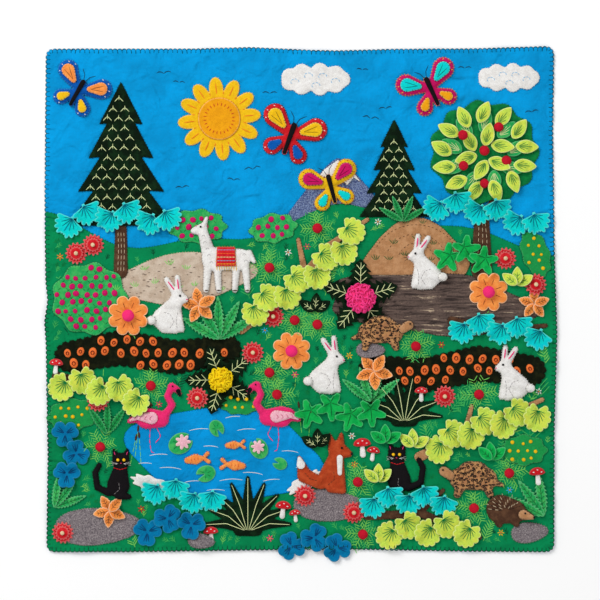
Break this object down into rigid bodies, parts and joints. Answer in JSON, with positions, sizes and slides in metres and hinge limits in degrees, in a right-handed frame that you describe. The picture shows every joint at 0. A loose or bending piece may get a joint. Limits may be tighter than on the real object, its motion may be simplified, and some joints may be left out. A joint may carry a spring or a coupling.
{
  "type": "arpillera wall cloth",
  "caption": "Square pictorial arpillera: a blue and green ground cloth with sewn felt patches, padded animals, leaf garlands and pompom flowers, lying face up.",
  "frame": {"origin": "centre of the flat underside, on the surface that the cloth lies on", "axes": "+X along the width to the picture's right, +Y up the picture, +Z out of its face"},
  "size_m": [0.6093, 0.6127, 0.0175],
  "materials": {
    "ground_cotton": "plain-weave cotton, a little puckered",
    "land_cotton": "plain-weave cotton, a little puckered",
    "pond_cotton": "plain-weave cotton",
    "denim": "speckled twill",
    "tan_fleece": "brushed fleece",
    "bark_print": "printed cotton with streaks",
    "straw_print": "printed cotton with small dashes",
    "grey_fleece": "speckled fleece",
    "brown_felt": "wool felt",
    "dark_green_felt": "wool felt",
    "bush_green": "printed cotton",
    "emerald_felt": "wool felt",
    "white_fleece": "brushed fleece, padded",
    "black_felt": "wool felt, padded",
    "rust_felt": "wool felt, padded",
    "leopard_print": "printed plush, padded",
    "yellow_felt": "wool felt",
    "pink_felt": "wool felt, padded",
    "red_felt": "wool felt, padded",
    "magenta_felt": "wool felt, padded",
    "blue_felt": "wool felt, padded",
    "orange_felt": "wool felt, padded",
    "turquoise_felt": "craft felt",
    "lime_felt": "craft felt",
    "teal_felt": "craft felt",
    "pompom_wool": "clipped wool yarn"
  },
  "bodies": {
    "root": {"bark_patch": "bark_print", "blades_left": "dark_green_felt", "blades_right": "dark_green_felt", "butterfly_blue": "blue_felt", "butterfly_magenta": "magenta_felt", "butterfly_red": "red_felt", "butterfly_yellow": "yellow_felt", "cat_left": "black_felt", "cat_right": "black_felt", "cloud_middle": "white_fleece", "cloud_right": "white_fleece", "fir_left": "dark_green_felt", "fir_right": "dark_green_felt", "fir_trunk_left": "brown_felt", "flamingo_left": "pink_felt", "flamingo_right": "pink_felt", "flower_left": "orange_felt", "flower_middle": "orange_felt", "flower_right": "orange_felt", "fox": "rust_felt", "ground_cloth": "ground_cotton", "hedge_left": "dark_green_felt", "hedge_right": "dark_green_felt", "hedgehog": "brown_felt", "hill_patch": "tan_fleece", "land_cloth": "land_cotton", "leaves_emerald_1": "emerald_felt", "leaves_emerald_2": "emerald_felt", "leaves_lime_1": "lime_felt", "leaves_lime_2": "lime_felt", "leaves_lime_3": "lime_felt", "leaves_lime_4": "lime_felt", "leaves_teal_1": "teal_felt", "leaves_teal_2": "teal_felt", "leaves_teal_3": "teal_felt", "leaves_turquoise_1": "turquoise_felt", "leaves_turquoise_2": "turquoise_felt", "leaves_turquoise_3": "turquoise_felt", "leaves_turquoise_4": "turquoise_felt", "leaves_turquoise_5": "turquoise_felt", "llama": "white_fleece", "mountain_patch": "denim", "pompom_pink": "pompom_wool", "pompom_yellow": "pompom_wool", "pond_cloth": "pond_cotton", "rabbit_edge": "white_fleece", "rabbit_left": "white_fleece", "rabbit_middle": "white_fleece", "rabbit_right": "white_fleece", "rose_bush": "bush_green", "stone_left": "grey_fleece", "stone_middle": "grey_fleece", "straw_patch": "straw_print", "sun": "yellow_felt", "tortoise_lower": "leopard_print", "tortoise_upper": "leopard_print", "tree_crown": "emerald_felt", "tree_trunk": "brown_felt"}
  },
  "joints": []
}
